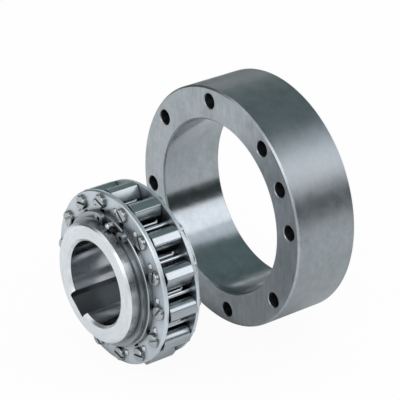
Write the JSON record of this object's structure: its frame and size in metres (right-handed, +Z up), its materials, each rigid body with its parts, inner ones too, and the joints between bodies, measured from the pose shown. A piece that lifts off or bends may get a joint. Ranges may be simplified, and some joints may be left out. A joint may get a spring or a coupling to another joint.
{
  "type": "sprag clutch",
  "caption": "One-way sprag clutch shown apart: a face-bolted outer ring stands behind a keyed inner unit whose cage carries pivoting, spring-loaded sprags.",
  "frame": {"origin": "on the floor, in the middle of the footprint", "axes": "+Y along the axes of both rings, from the inner unit towards the outer ring; +Z up"},
  "size_m": [0.175, 0.1562, 0.175],
  "materials": {
    "outer_ring_steel": "brushed",
    "inner_ring_steel": "ground",
    "cage_steel": "satin",
    "retaining_ring_steel": "dark satin",
    "screw_steel": "satin",
    "rod_steel": "polished",
    "sprag_steel": "ground"
  },
  "bodies": {
    "outer_ring": {"outer_ring": "outer_ring_steel"},
    "inner_unit": {"inner_ring": "inner_ring_steel", "front_hub_ring": "cage_steel", "rear_hub_ring": "cage_steel", "front_cage_plate": "cage_steel", "rear_cage_plate": "cage_steel", "front_circlip": "retaining_ring_steel", "rear_circlip": "retaining_ring_steel", "drive_pin": "rod_steel", "spacer_rods": "rod_steel", "spring_legs": "rod_steel", "front_pivot_screws": "screw_steel", "rear_pivot_screws": "screw_steel"},
    "sprag_01": {"sprag_01": "sprag_steel"},
    "sprag_02": {"sprag_02": "sprag_steel"},
    "sprag_03": {"sprag_03": "sprag_steel"},
    "sprag_04": {"sprag_04": "sprag_steel"},
    "sprag_05": {"sprag_05": "sprag_steel"},
    "sprag_06": {"sprag_06": "sprag_steel"},
    "sprag_07": {"sprag_07": "sprag_steel"},
    "sprag_08": {"sprag_08": "sprag_steel"},
    "sprag_09": {"sprag_09": "sprag_steel"},
    "sprag_10": {"sprag_10": "sprag_steel"},
    "sprag_11": {"sprag_11": "sprag_steel"},
    "sprag_12": {"sprag_12": "sprag_steel"},
    "sprag_13": {"sprag_13": "sprag_steel"},
    "sprag_14": {"sprag_14": "sprag_steel"}
  },
  "joints": [
    {"name": "freewheel_spin", "type": "hinge", "parent": "outer_ring", "child": "inner_unit", "pos_m": [0, -0.04915, 0.06175], "axis": [0, 1, 0], "continuous": true},
    {"name": "sprag_01_tilt", "type": "hinge", "parent": "inner_unit", "child": "sprag_01", "pos_m": [-0.04851, -0.04915, 0.08809], "axis": [0, 1, 0], "range_deg": [-27, 0]},
    {"name": "sprag_02_tilt", "type": "hinge", "parent": "inner_unit", "child": "sprag_02", "pos_m": [-0.03228, -0.04915, 0.10653], "axis": [0, 1, 0], "range_deg": [-27, 0]},
    {"name": "sprag_03_tilt", "type": "hinge", "parent": "inner_unit", "child": "sprag_03", "pos_m": [-0.00965, -0.04915, 0.1161], "axis": [0, 1, 0], "range_deg": [-27, 0]},
    {"name": "sprag_04_tilt", "type": "hinge", "parent": "inner_unit", "child": "sprag_04", "pos_m": [0.01488, -0.04915, 0.11491], "axis": [0, 1, 0], "range_deg": [-27, 0]},
    {"name": "sprag_05_tilt", "type": "hinge", "parent": "inner_unit", "child": "sprag_05", "pos_m": [0.03647, -0.04915, 0.10318], "axis": [0, 1, 0], "range_deg": [-27, 0]},
    {"name": "sprag_06_tilt", "type": "hinge", "parent": "inner_unit", "child": "sprag_06", "pos_m": [0.05084, -0.04915, 0.08325], "axis": [0, 1, 0], "range_deg": [0, 27]},
    {"name": "sprag_07_tilt", "type": "hinge", "parent": "inner_unit", "child": "sprag_07", "pos_m": [0.05513, -0.04915, 0.05907], "axis": [0, 1, 0], "range_deg": [0, 27]},
    {"name": "sprag_08_tilt", "type": "hinge", "parent": "inner_unit", "child": "sprag_08", "pos_m": [0.04851, -0.04915, 0.03541], "axis": [0, 1, 0], "range_deg": [0, 27]},
    {"name": "sprag_09_tilt", "type": "hinge", "parent": "inner_unit", "child": "sprag_09", "pos_m": [0.03228, -0.04915, 0.01697], "axis": [0, 1, 0], "range_deg": [0, 27]},
    {"name": "sprag_10_tilt", "type": "hinge", "parent": "inner_unit", "child": "sprag_10", "pos_m": [0.00965, -0.04915, 0.0074], "axis": [0, 1, 0], "range_deg": [-27, 0]},
    {"name": "sprag_11_tilt", "type": "hinge", "parent": "inner_unit", "child": "sprag_11", "pos_m": [-0.01488, -0.04915, 0.00859], "axis": [0, 1, 0], "range_deg": [-27, 0]},
    {"name": "sprag_12_tilt", "type": "hinge", "parent": "inner_unit", "child": "sprag_12", "pos_m": [-0.03647, -0.04915, 0.02032], "axis": [0, 1, 0], "range_deg": [-27, 0]},
    {"name": "sprag_13_tilt", "type": "hinge", "parent": "inner_unit", "child": "sprag_13", "pos_m": [-0.05084, -0.04915, 0.04025], "axis": [0, 1, 0], "range_deg": [-27, 0]},
    {"name": "sprag_14_tilt", "type": "hinge", "parent": "inner_unit", "child": "sprag_14", "pos_m": [-0.05513, -0.04915, 0.06443], "axis": [0, 1, 0], "range_deg": [-27, 0]}
  ],
  "couplings": [
    {"joint": "sprag_01_tilt", "follows": "sprag_10_tilt", "ratio": 1},
    {"joint": "sprag_02_tilt", "follows": "sprag_10_tilt", "ratio": 1},
    {"joint": "sprag_03_tilt", "follows": "sprag_10_tilt", "ratio": 1},
    {"joint": "sprag_04_tilt", "follows": "sprag_10_tilt", "ratio": 1},
    {"joint": "sprag_05_tilt", "follows": "sprag_10_tilt", "ratio": 1},
    {"joint": "sprag_07_tilt", "follows": "sprag_06_tilt", "ratio": 1},
    {"joint": "sprag_08_tilt", "follows": "sprag_06_tilt", "ratio": 1},
    {"joint": "sprag_09_tilt", "follows": "sprag_06_tilt", "ratio": 1},
    {"joint": "sprag_11_tilt", "follows": "sprag_10_tilt", "ratio": 1},
    {"joint": "sprag_12_tilt", "follows": "sprag_10_tilt", "ratio": 1},
    {"joint": "sprag_13_tilt", "follows": "sprag_10_tilt", "ratio": 1},
    {"joint": "sprag_14_tilt", "follows": "sprag_10_tilt", "ratio": 1}
  ]
}
